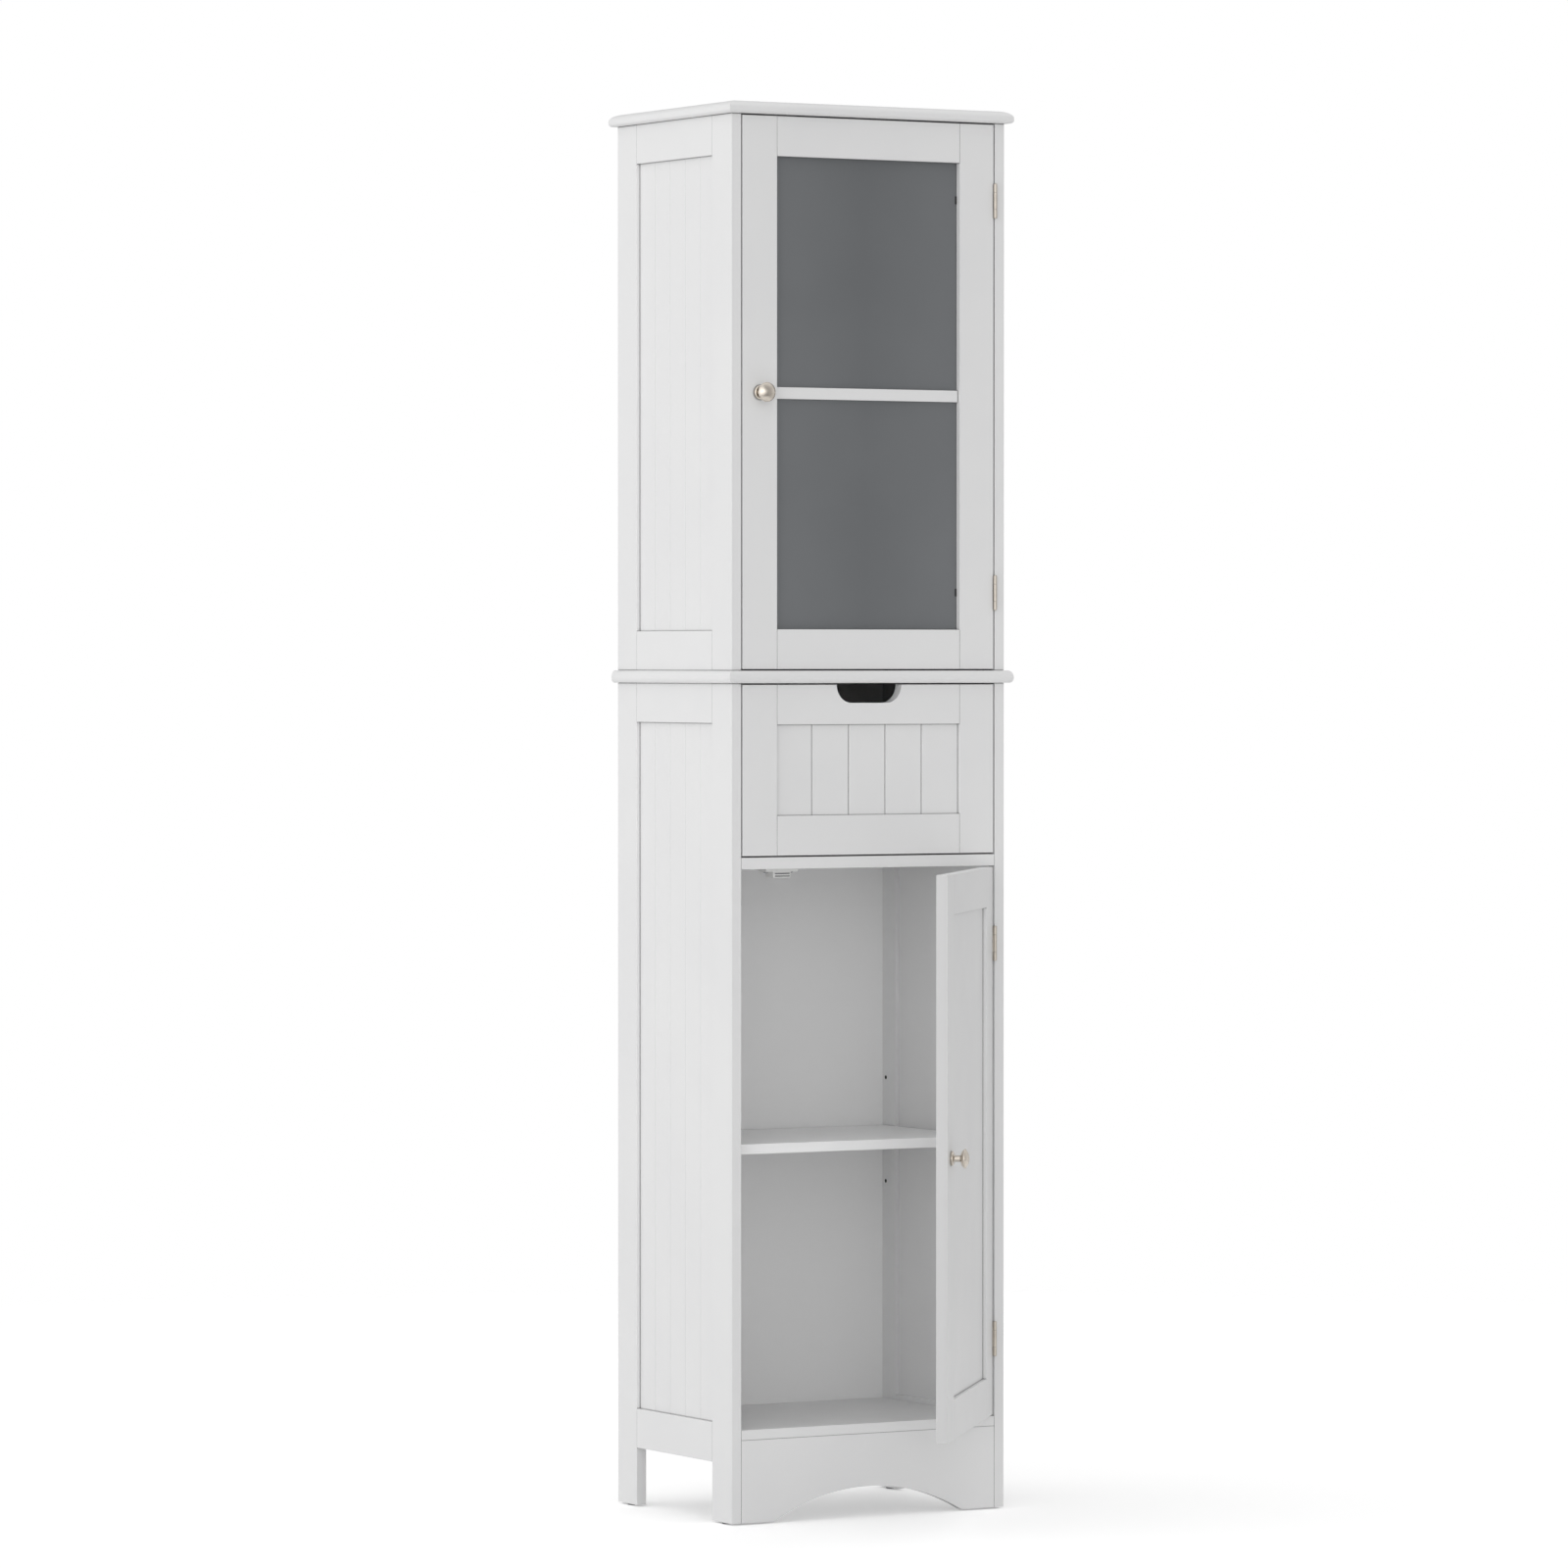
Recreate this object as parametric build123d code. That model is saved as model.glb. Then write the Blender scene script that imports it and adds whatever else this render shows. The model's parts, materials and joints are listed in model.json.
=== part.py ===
from build123d import *
from math import asin, cos, pi, sin, sqrt
import os

# Tall free-standing storage cabinet in painted MDF: a glazed upper case, a waist board, one
# drawer with a finger cut-out, and an open-shelved lower case behind a framed door.
#
# Frame: millimetres. The origin is on the floor at the centre of the carcass footprint.
# +X points to the right, +Y to the back and +Z up. The lower door stands ajar at rest.

# ---------------------------------------------------------------- overall
WIDTH = 380.0               # carcass, outer face to outer face
DEPTH = 283.0               # carcass, front plane to back edge
HEIGHT = 1698.5             # floor to top surface
GLIDE_T = 2.0               # plastic glide between a leg and the floor

LEFT = -WIDTH / 2
RIGHT = WIDTH / 2
FRONT = -DEPTH / 2
BACK = DEPTH / 2

# ---------------------------------------------------------------- stock
SIDE_T = 13.2               # stiles and rails of the side frames
FACE_T = 14.0               # doors and drawer front
CAP_T = 15.0                # top board and waist board
BOTTOM_T = 12.0
DIVIDER_T = 14.0
SHELF_T = 12.0
BACK_T = 4.0
GAP = 1.8                   # round the doors and the drawer front
MEMBER = 47.6               # width of every stile and rail
EASE = 0.5                  # eased arris on painted boards
JOINT_W = 0.2               # hairline that shows where two members butt
JOINT_DEPTH = 1.2
TONGUE = 5.0                # how far a panel reaches into its frame

# ---------------------------------------------------------------- levels
BOTTOM_Z = 101.4            # underside of the bottom board
DIVIDER_Z = 783.0           # underside of the board below the drawer
WAIST_Z = 1005.0            # underside of the waist board
TOP_Z = HEIGHT - CAP_T      # underside of the top board
LOW_RAIL_Z = 72.3           # underside of the lowest side rail
SHELF_Z = 441.5             # underside of the lower shelf
SHELF_SETBACK = 20.0        # shelf edge behind the front plane
SHELF_CLEAR = 1.0           # round the shelf's other edges
PIN_SINK = 0.2              # clearance round a pin in the shelf's notch
PIN_DROP = 1.0              # pin's axis above the shelf's middle
BACK_INSET = 11.6           # back panel in from the back edge
BACK_SET = 4.0              # back panel let into each side

# ---------------------------------------------------------------- cap boards
SIDE_OVERHANG = 8.0
FRONT_OVERHANG = 10.0
TOP_OVERHANG_BACK = 9.0
WAIST_OVERHANG_BACK = 2.0
TOP_UPPER_ROUND = (16.0, 8.5)   # (inward, upward) reach of each rounded arris
TOP_LOWER_ROUND = (4.0, 3.5)
WAIST_UPPER_ROUND = (5.5, 8.0)
WAIST_LOWER_ROUND = (4.5, 5.5)

# ---------------------------------------------------------------- beaded panels
SIDE_PANEL_T = 3.5
SIDE_RECESS = 5.0
FACE_PANEL_T = 4.0
FACE_RECESS = 5.0
BEAD_COUNT = 5              # boards that the grooves divide a panel into
SIDE_BEAD = (2.4, 0.5)      # width and depth of a V groove
FACE_BEAD = (2.8, 1.3)

# ---------------------------------------------------------------- apron and drawer front
ARCH_SPAN = 262.0
ARCH_RISE = 35.5
FINGER_W = 90.0
FINGER_DEPTH = 22.0
FINGER_R = 21.0

# ---------------------------------------------------------------- glazed door
GLASS_SETBACK = 8.0         # rebate's shoulder behind the front plane
PAD_T = 0.8                 # black pads between the shoulder and the glass
PAD_SHOWN = 1.8             # pad past the frame's edge
GLASS_T = 4.0
GLASS_EASE = 0.4
GLASS_LAP = 5.5             # glass behind the frame
REBATE = 6.0
MUNTIN_H = 14.0
MUNTIN_T = 4.1
CLIP_H = 9.5                # black clips that hold the glass
CLIP_T = 2.5
CLIP_REACH = 2.5            # nose of a clip past the frame's edge
CLIP_FOOT = 18.0
CLIP_SCREW_IN = 4.5         # screw from the foot's outer end
CLIP_EASE = 0.2             # between the clip's nose and the rebate's end
PAD_CLEAR = 1.0             # pad's outer end short of the glass's edge

# ---------------------------------------------------------------- hinges
LEAF_H = 41.0
LEAF_T = 0.8
LEAF_W = 12.0
LEAF_SETBACK = 1.0          # leaf's front edge behind the front plane
LEAF_SCREW_AT = 0.3         # each screw from the leaf's middle, as a part of its height
KNUCKLE_R = 2.1
PIN_R = 1.0
PIN_RUNNING = 0.05          # radial clearance in the door knuckle
KNUCKLE_GAP = 0.3
KNUCKLE_WEB = 0.6           # metal between the pin's bore and the neck
PIN_HEAD_R = 1.7
PIN_HEAD_T = 0.2            # straight part of the pin's heads
PIN_TIP = 0.9               # pin past the knuckles at each end
END_KNUCKLE = 10.0
HINGE_INSET = 92.5          # hinge centre from the door's end
AXIS_X = RIGHT - SIDE_T - GAP / 2
AXIS_Y = FRONT - 3.0
DOOR_AJAR = 50.0            # lower door at rest, degrees

# ---------------------------------------------------------------- knobs
ROSETTE_R = 8.6
ROSETTE_T = 3.8
ROSETTE_ROUND = 1.8
FOOT_FLARE = 1.4            # widening of the stem where it meets the rosette
STEM_R = 3.9
NECK_R = 3.4                # turned ring where the stem meets the head
NECK_H = 1.2
HEAD_AT = 12.4              # back of the head from the door's face
RIM_AT = 16.2
RIM_T = 1.8
HEAD_R = 11.75
RIM_ROUND = 0.5
CROWN_R = 10.9              # edge of the domed face, inside the rim
KNOB_OUT = 21.9
KNOB_BORE = 10.0
SCREW_R = 2.0               # machine screw in the knob
KNOB_SCREW_HEAD = (4.0, 2.4)

# ---------------------------------------------------------------- drawer box
BOX_T = 12.0
BOX_CLEAR = 1.5             # drawer side to case side
BOX_Z = 812.0
BOX_H = 150.0
BOX_BACK = 21.0             # drawer back from the back edge of the case
RUNNER_T = 7.5
RUNNER_H = 14.0
RUNNER_Z = 893.0
RUNNER_FIT = 0.4            # clearance all round a runner in its groove
RUNNER_FRONT = 6.0          # runner's front end behind the drawer front
RUNNER_BACK = 5.0           # runner's back end before the back panel
RUNNER_SCREW_AT = 33.3      # runner's screws from the case's front and back edges
GROOVE_FRONT = 5.0          # groove's front end behind the drawer front
DRAWER_CAM_Z = (32.0, 122.0)    # cams above the drawer side's lower edge
DRAWER_SCREW_Z = (45.0, 130.0)  # screws into the drawer back
DRAWER_BOLT_IN = 4.0        # cam bolt's axis from the inside of a drawer side
DRAWER_BOTTOM_T = 3.5
DRAWER_BOTTOM_Z = 820.0

# ---------------------------------------------------------------- screws
# (head radius, head height, shank radius, length)
LEAF_SCREW = (2.4, 1.2, 1.2, 11.0)
DOOR_LEAF_SCREW = (2.4, 1.2, 1.2, 14.0)
STRIKE_SCREW = (2.6, 1.3, 1.2, 11.0)
CLIP_SCREW = (3.0, 1.6, 1.3, 11.0)
CATCH_SCREW = (3.2, 1.6, 1.4, 12.0)
RUNNER_SCREW = (3.4, 2.4, 1.5, 17.0)
DRAWER_SCREW = (3.4, 2.4, 1.6, 32.0)
PAN_CROWN = 0.6             # flat of a domed head, as a part of its radius
PAN_RIM = 0.35              # height of a domed head's rim, as a part of the head's height

# ---------------------------------------------------------------- fittings
PIN_HOLE_R = 2.5            # shelf-pin holes
PIN_HOLE_DEPTH = 8.0
PIN_PITCH = 64.5
PIN_FRONT_INSET = 28.0      # shelf pins from the front edge
PIN_BACK_INSET = 23.5       # and from the back edge
PIN_LENGTH = 16.0
DOWEL_R = 3.0
DOWEL_SET = 18.0            # depth of a dowel in a stile
DOWEL_IN_TOP = 9.0          # and in the top board
CAM_R = 6.0
CAM_T = 9.5
CAM_SETBACK = 24.0          # cam centre from the joint
CAM_BOLT_R = 2.5
CAM_BOLT_RISE = 1.5         # bolt above the cam's middle
CAM_BOLT_GRIP = 1.0         # bolt's end inside the cam's rim
CAM_SLOT_W = 1.4
CAM_SLOT_DEPTH = 2.0
CAM_SLOT_REACH = 0.6        # arms of the slot, as a part of the cam's radius
DRAWER_CAM_T = 8.0
CATCH_W = 44.0
CATCH_DEPTH = 20.0
CATCH_FLANGE_T = 4.0
CATCH_BLOCK_W = 24.0
CATCH_BLOCK_H = 7.0
CATCH_X = 78.5              # catch centre from the outer left face
CATCH_SCREWS = 17.0         # each screw from the catch's centre
CATCH_EASE = 0.8
CATCH_SPACE = 1.0           # between the catch and the strike plate
POLE_T = 1.2
POLE_PITCH = 3.2
POLE_MARGIN = 2.0           # pole's ends in from the catch block's ends
POLE_OUT = 0.6              # poles past the front of the catch
POLE_LENGTH = 14.6
STRIKE_T = 1.0
STRIKE_W = 22.0
STRIKE_H = 12.0
STRIKE_EASE = 0.2
STRIKE_LOW = 1.0            # strike plate's middle below the catch block's middle
GLIDE_R = 5.5
GLIDE_ROUND = 0.6
GLIDE_STEM_R = 1.5
GLIDE_STEM = 10.0
RECESS_W = 0.8              # arms of the cross recess in a screw head
RECESS_REACH = 0.6          # arms and depth as parts of the radius of the head's flat
RECESS_DEPTH = 0.22

# ---------------------------------------------------------------- places worked out
INNER_LEFT = LEFT + SIDE_T
INNER_RIGHT = RIGHT - SIDE_T
FACE_LEFT = INNER_LEFT + GAP
FACE_RIGHT = INNER_RIGHT - GAP
FACE_BACK = FRONT + FACE_T
GLASS_FACE = FRONT + GLASS_SETBACK + PAD_T
BACK_FACE = BACK - BACK_INSET - BACK_T          # front of the back panels
WAIST_TOP = WAIST_Z + CAP_T
UPPER_DOOR = (WAIST_TOP + GAP, TOP_Z - GAP)
LOWER_DOOR = (BOTTOM_Z + BOTTOM_T + GAP, DIVIDER_Z - GAP)
DRAWER_FACE = (DIVIDER_Z + DIVIDER_T + GAP, WAIST_Z - GAP)
STILE_CENTRES = (FRONT + MEMBER / 2, BACK - MEMBER / 2)
PIN_ROWS = (FRONT + PIN_FRONT_INSET, BACK - PIN_BACK_INSET)
HINGE_Z = {
    "upper": (UPPER_DOOR[0] + HINGE_INSET, UPPER_DOOR[1] - HINGE_INSET),
    "lower": (LOWER_DOOR[0] + HINGE_INSET, LOWER_DOOR[1] - HINGE_INSET),
}
PIN_LEVEL = SHELF_Z + SHELF_T / 2 + PIN_DROP    # pin that holds the lower shelf
UPPER_SHELF_Z = sum(UPPER_DOOR) / 2 - SHELF_T / 2
UPPER_PIN_LEVEL = UPPER_SHELF_Z + SHELF_T / 2 + PIN_DROP
KNOB_X = FACE_LEFT + MEMBER / 2
CATCH_CENTRE = LEFT + CATCH_X


# ---------------------------------------------------------------- building blocks
def block(x, y, z):
    """Box between three (low, high) pairs."""
    centre = Pos(sum(x) / 2, sum(y) / 2, sum(z) / 2)
    return centre * Box(x[1] - x[0], y[1] - y[0], z[1] - z[0])


def board(x, y, z, ease=EASE):
    """Box with every arris eased, as sanded and painted board has."""
    solid = block(x, y, z)
    return fillet(solid.edges(), ease)


def jointed(x, y, z, low=(0, 0, 0), high=(0, 0, 0)):
    """Board that butts against others at the ends marked 1, where a hairline shows round it."""
    spans = list(zip((x, y, z), low, high))
    body = [(span[0] + a * JOINT_W, span[1] - b * JOINT_W) for span, a, b in spans]
    core = [(span[0] + (1 - a) * JOINT_DEPTH, span[1] - (1 - b) * JOINT_DEPTH)
            for span, a, b in spans]
    return board(*body) + block(*core)


def rod(start, direction, radius, length):
    """Cylinder from a start point along a direction."""
    plane = Plane(origin=start, z_dir=direction)
    return extrude(plane * Circle(radius), amount=length)


def turned(start, direction, outline):
    """Solid turned about the line through start, from (radius, distance) points."""
    section = Rot(90, 0, 0) * Polygon(*outline, align=None)
    return Plane(origin=start, z_dir=direction).location * revolve(section, axis=Axis.Z)


def spread(side, near, far):
    """(low, high) X pair of a layer between two distances in from an outer side face."""
    pair = (side * (WIDTH / 2 - near), side * (WIDTH / 2 - far))
    return (min(pair), max(pair))


def write(name, *solids):
    """Write one node: one solid, or a group of separate ones."""
    flat = [solid for item in solids for solid in item.solids()]
    shape = flat[0] if len(flat) == 1 else Compound(children=flat)
    export_step(shape, f"parts/{name}.step")


def screw(start, direction, size):
    """Flat-headed screw: the head's face lies at start and the shank runs along direction."""
    head_r, head_t, shank_r, length = size
    outline = [(0, 0), (head_r, 0), (shank_r, head_t), (shank_r, length - shank_r), (0, length)]
    return turned(start, direction, outline)


def pan_screw(start, direction, size):
    """Domed screw that bears on start: the head stands back from it."""
    head_r, head_t, shank_r, length = size
    outline = [(0, -head_t), (head_r * PAN_CROWN, -head_t), (head_r, -head_t * PAN_RIM),
               (head_r, 0), (shank_r, 0), (shank_r, length - shank_r), (0, length)]
    return turned(start, direction, outline)


def recessed(blank):
    """A screw with a cross recess in its head: the flat face farthest from its middle."""
    head = blank.faces().filter_by(GeomType.PLANE).sort_by_distance(blank.center())[-1]
    radius = sqrt(head.area / pi)
    arm = 2 * RECESS_REACH * radius
    place = Plane(head).location
    for size in ((arm, RECESS_W), (RECESS_W, arm)):
        blank = blank - place * Box(*size, 2 * RECESS_DEPTH * radius)
    return blank


def cut(solid, tools):
    """Take every tool away from a solid."""
    for tool in tools:
        solid = solid - tool
    return solid


# ---------------------------------------------------------------- side frames
def bead_cutters(heights, span, bead, into):
    """Upright V grooves that divide a panel into equal boards.

    heights is the grooves' (low, high) level, span the panel's visible (low, high) width and
    bead the groove's (width, depth). into gives the place of a groove from its own position.
    """
    width, depth = bead
    section = Polygon((-width / 2, -EASE), (width / 2, -EASE), (width / 2, 0),
                      (0, depth), (-width / 2, 0), align=None)
    bar = extrude(section, amount=heights[1] - heights[0])
    pitch = (span[1] - span[0]) / BEAD_COUNT
    return [into(span[0] + pitch * index) * bar for index in range(1, BEAD_COUNT)]


def side_panel_blank(side, rails):
    """The side panel's slab, tongues included; rails gives the clear height of the opening."""
    return block(spread(side, SIDE_RECESS, SIDE_RECESS + SIDE_PANEL_T),
                 (FRONT + MEMBER - TONGUE, BACK - MEMBER + TONGUE),
                 (rails[0] - TONGUE, rails[1] + TONGUE))


def beaded_side_panel(side, rails):
    """Side panel with vertical V grooves on its outer face."""
    heights = (rails[0] - TONGUE, rails[1] + TONGUE)
    face_x = side * (WIDTH / 2 - SIDE_RECESS)

    def into(place):
        return Pos(face_x, place, heights[0]) * Rot(0, 0, 90 * side)

    grooves = bead_cutters(heights, (FRONT + MEMBER, BACK - MEMBER), SIDE_BEAD, into)
    return cut(side_panel_blank(side, rails), grooves)


def pin_holes(side, levels):
    """Blind shelf-pin holes in both stiles of a side, at each level."""
    inner = side * (WIDTH / 2 - SIDE_T)
    return [rod((inner, y, z), (side, 0, 0), PIN_HOLE_R, PIN_HOLE_DEPTH)
            for y in PIN_ROWS for z in levels]


def side_frame(storey, side_name, side, legs_z, rail_spans, drilled, levels):
    """Two stiles, two rails and a beaded panel of one side of one case."""
    across = spread(side, 0, SIDE_T)
    clear = (rail_spans[0][1], rail_spans[1][0])
    blank = side_panel_blank(side, clear)
    taken = [blank] + pin_holes(side, levels) + drilled
    stiles = []
    for y in ((FRONT, FRONT + MEMBER), (BACK - MEMBER, BACK)):
        stile = jointed(across, y, legs_z, low=(0, 0, storey == "upper"), high=(0, 0, 1))
        stiles.append(cut(stile, taken + [back_slots[storey]]))
    ends = (0, 1, 0)
    rails = [cut(jointed(across, (FRONT + MEMBER, BACK - MEMBER), z, ends, ends), [blank])
             for z in rail_spans]
    write(f"{storey}_{side_name}_stiles", *stiles)
    write(f"{storey}_{side_name}_rails", *rails)
    write(f"{storey}_{side_name}_panel", beaded_side_panel(side, clear))


# ---------------------------------------------------------------- carcass joints
def cam_fitting(side, y, underside):
    """Cam disc let into a board's underside and its bolt into the side stile."""
    inner = side * (WIDTH / 2 - SIDE_T)
    centre_x = inner - side * CAM_SETBACK
    disc = rod((centre_x, y, underside), (0, 0, 1), CAM_R, CAM_T)
    bolt_z = underside + CAM_T / 2 + CAM_BOLT_RISE
    bolt = rod((inner + side * PIN_HOLE_DEPTH, y, bolt_z), (-side, 0, 0), CAM_BOLT_R,
               PIN_HOLE_DEPTH + CAM_SETBACK - CAM_R + CAM_BOLT_GRIP)
    arm = 2 * CAM_R * CAM_SLOT_REACH
    place = Pos(centre_x, y, underside)
    arms = [place * Box(*size, 2 * CAM_SLOT_DEPTH)
            for size in ((arm, CAM_SLOT_W), (CAM_SLOT_W, arm))]
    return cut(disc, arms + [bolt]), bolt, [disc, bolt]


def carcass_cams():
    """Every cam of the bottom board and the divider, with the bores that they need."""
    discs = []
    bolts = []
    bores = {BOTTOM_Z: [], DIVIDER_Z: []}
    for underside in (BOTTOM_Z, DIVIDER_Z):
        for side in (-1, 1):
            for y in STILE_CENTRES:
                disc, bolt, bored = cam_fitting(side, y, underside)
                discs.append(disc)
                bolts.append(bolt)
                bores[underside] += bored
    return discs, bolts, bores


def frame_dowels():
    """Dowels that tie the stiles to the waist board and the top board."""
    dowels = []
    for side in (-1, 1):
        x = side * (WIDTH - SIDE_T) / 2
        for y in STILE_CENTRES:
            waist_length = CAP_T + 2 * DOWEL_SET
            dowels.append(rod((x, y, WAIST_Z - DOWEL_SET), (0, 0, 1), DOWEL_R, waist_length))
            top_length = DOWEL_SET + DOWEL_IN_TOP
            dowels.append(rod((x, y, TOP_Z - DOWEL_SET), (0, 0, 1), DOWEL_R, top_length))
    return dowels


def cap_section(span, underside, upper, lower, ends):
    """Section of a cap board: a rectangle with rounded arrises.

    upper and lower are the (inward, upward) reach of the rounds, and ends lists each rounded
    end as (its coordinate, the sign of the direction inwards).
    """
    top = underside + CAP_T
    section = Pos(sum(span) / 2, (underside + top) / 2) * Rectangle(span[1] - span[0], CAP_T)
    for tip, inward in ends:
        for level, up, (reach, rise) in ((underside, 1, lower), (top, -1, upper)):
            corner = Pos(tip + inward * reach / 2, level + up * rise / 2) * Rectangle(reach, rise)
            keep = Pos(tip + inward * reach, level + up * rise) * Ellipse(reach, rise)
            section = section - (corner - keep)
    return section


def cap_board(underside, back, back_rounded, upper, lower):
    """Top or waist board, mitred at its corners where the rounded arrises meet."""
    x = (LEFT - SIDE_OVERHANG, RIGHT + SIDE_OVERHANG)
    y = (FRONT - FRONT_OVERHANG, back)
    side_ends = [(x[0], 1), (x[1], -1)]
    y_ends = [(y[0], 1), (y[1], -1)] if back_rounded else [(y[0], 1)]
    across = cap_section(x, underside, upper, lower, side_ends)
    along = cap_section(y, underside, upper, lower, y_ends)
    front_plane = Plane(origin=(0, y[0], 0), x_dir=(1, 0, 0), z_dir=(0, -1, 0))
    left_plane = Plane(origin=(x[0], 0, 0), x_dir=(0, 1, 0), z_dir=(1, 0, 0))
    return (extrude(front_plane * across, amount=y[0] - y[1])
            & extrude(left_plane * along, amount=x[1] - x[0]))


def front_apron():
    """Apron between the front legs, with a shallow arch cut from below."""
    solid = jointed((INNER_LEFT, INNER_RIGHT), (FRONT, FRONT + SIDE_T), (GLIDE_T, BOTTOM_Z),
                    low=(1, 0, 0), high=(1, 0, 1))
    radius = (ARCH_SPAN ** 2 / 4 + ARCH_RISE ** 2) / (2 * ARCH_RISE)
    centre_z = GLIDE_T + ARCH_RISE - radius
    return solid - rod((0, FRONT - 1, centre_z), (0, 1, 0), radius, SIDE_T + 2)


def shelf(underside, pin_level):
    """Loose shelf, notched underneath where it drops over its pins."""
    solid = board((INNER_LEFT + SHELF_CLEAR, INNER_RIGHT - SHELF_CLEAR),
                  (FRONT + SHELF_SETBACK, BACK_FACE - SHELF_CLEAR),
                  (underside, underside + SHELF_T))
    reach = PIN_LENGTH - PIN_HOLE_DEPTH
    top = pin_level + PIN_HOLE_R
    for side in (-1, 1):
        for y in PIN_ROWS:
            inner = side * (WIDTH / 2 - SIDE_T)
            x = sorted((inner, inner - side * (reach + PIN_SINK)))
            half = PIN_HOLE_R + PIN_SINK
            solid = solid - block(x, (y - half, y + half), (underside - 1, top))
    return solid


def shelf_pins(levels):
    """Steel pins under the shelves."""
    pins = []
    for level in levels:
        for side in (-1, 1):
            start_x = side * (WIDTH / 2 - SIDE_T + PIN_HOLE_DEPTH)
            for y in PIN_ROWS:
                pins.append(rod((start_x, y, level), (-side, 0, 0), PIN_HOLE_R, PIN_LENGTH))
    return pins


def foot_glides():
    """Nail-on glides under the four legs."""
    top = GLIDE_T + GLIDE_STEM
    outline = [(0, 0), (GLIDE_R - GLIDE_ROUND, 0), (GLIDE_R, GLIDE_ROUND), (GLIDE_R, GLIDE_T),
               (GLIDE_STEM_R, GLIDE_T), (GLIDE_STEM_R, top), (0, top)]
    x = (WIDTH - SIDE_T) / 2
    return [turned((side * x, y, 0), (0, 0, 1), outline) for side in (-1, 1)
            for y in STILE_CENTRES]


# ---------------------------------------------------------------- hinges
def leaf(centre_z, x, knuckles, bore_r, screws):
    """Hinge leaf in the gap beside a door, with the knuckles that it carries."""
    front = FRONT + LEAF_SETBACK
    solid = block(x, (front, front + LEAF_W), (centre_z - LEAF_H / 2, centre_z + LEAF_H / 2))
    for low, high in knuckles:
        ring = rod((AXIS_X, AXIS_Y, low), (0, 0, 1), KNUCKLE_R, high - low)
        neck = block(x, (AXIS_Y + PIN_R + KNUCKLE_WEB, front + LEAF_T), (low, high))
        bore = rod((AXIS_X, AXIS_Y, low - 1), (0, 0, 1), bore_r, high - low + 2)
        solid = solid + ring + neck - bore
    return cut(solid, screws)


def hinge(centre_z):
    """One butt hinge: case leaf, door leaf, pin, and the screws of both leaves."""
    low = centre_z - LEAF_H / 2
    high = centre_z + LEAF_H / 2
    case_knuckles = ((low, low + END_KNUCKLE), (high - END_KNUCKLE, high))
    door_knuckles = ((low + END_KNUCKLE + KNUCKLE_GAP, high - END_KNUCKLE - KNUCKLE_GAP),)
    case_x = (INNER_RIGHT - LEAF_T, INNER_RIGHT)
    door_x = (FACE_RIGHT, FACE_RIGHT + LEAF_T)
    screw_y = FRONT + LEAF_SETBACK + LEAF_W / 2
    case_screws = []
    door_screws = []
    for offset in (-LEAF_H * LEAF_SCREW_AT, LEAF_H * LEAF_SCREW_AT):
        z = centre_z + offset
        case_screws.append(screw((case_x[0], screw_y, z), (1, 0, 0), LEAF_SCREW))
        door_screws.append(screw((door_x[1], screw_y, z), (-1, 0, 0), DOOR_LEAF_SCREW))
    case_leaf = leaf(centre_z, case_x, case_knuckles, PIN_R, case_screws)
    door_leaf = leaf(centre_z, door_x, door_knuckles, PIN_R + PIN_RUNNING, door_screws)
    outline = [(0, -PIN_TIP), (PIN_R, -PIN_TIP), (PIN_HEAD_R, -PIN_HEAD_T), (PIN_HEAD_R, 0),
               (PIN_R, 0), (PIN_R, LEAF_H), (PIN_HEAD_R, LEAF_H),
               (PIN_HEAD_R, LEAF_H + PIN_HEAD_T), (PIN_R, LEAF_H + PIN_TIP),
               (0, LEAF_H + PIN_TIP)]
    pin = turned((AXIS_X, AXIS_Y, low), (0, 0, 1), outline)
    return case_leaf, door_leaf, pin, case_screws, door_screws


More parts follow.
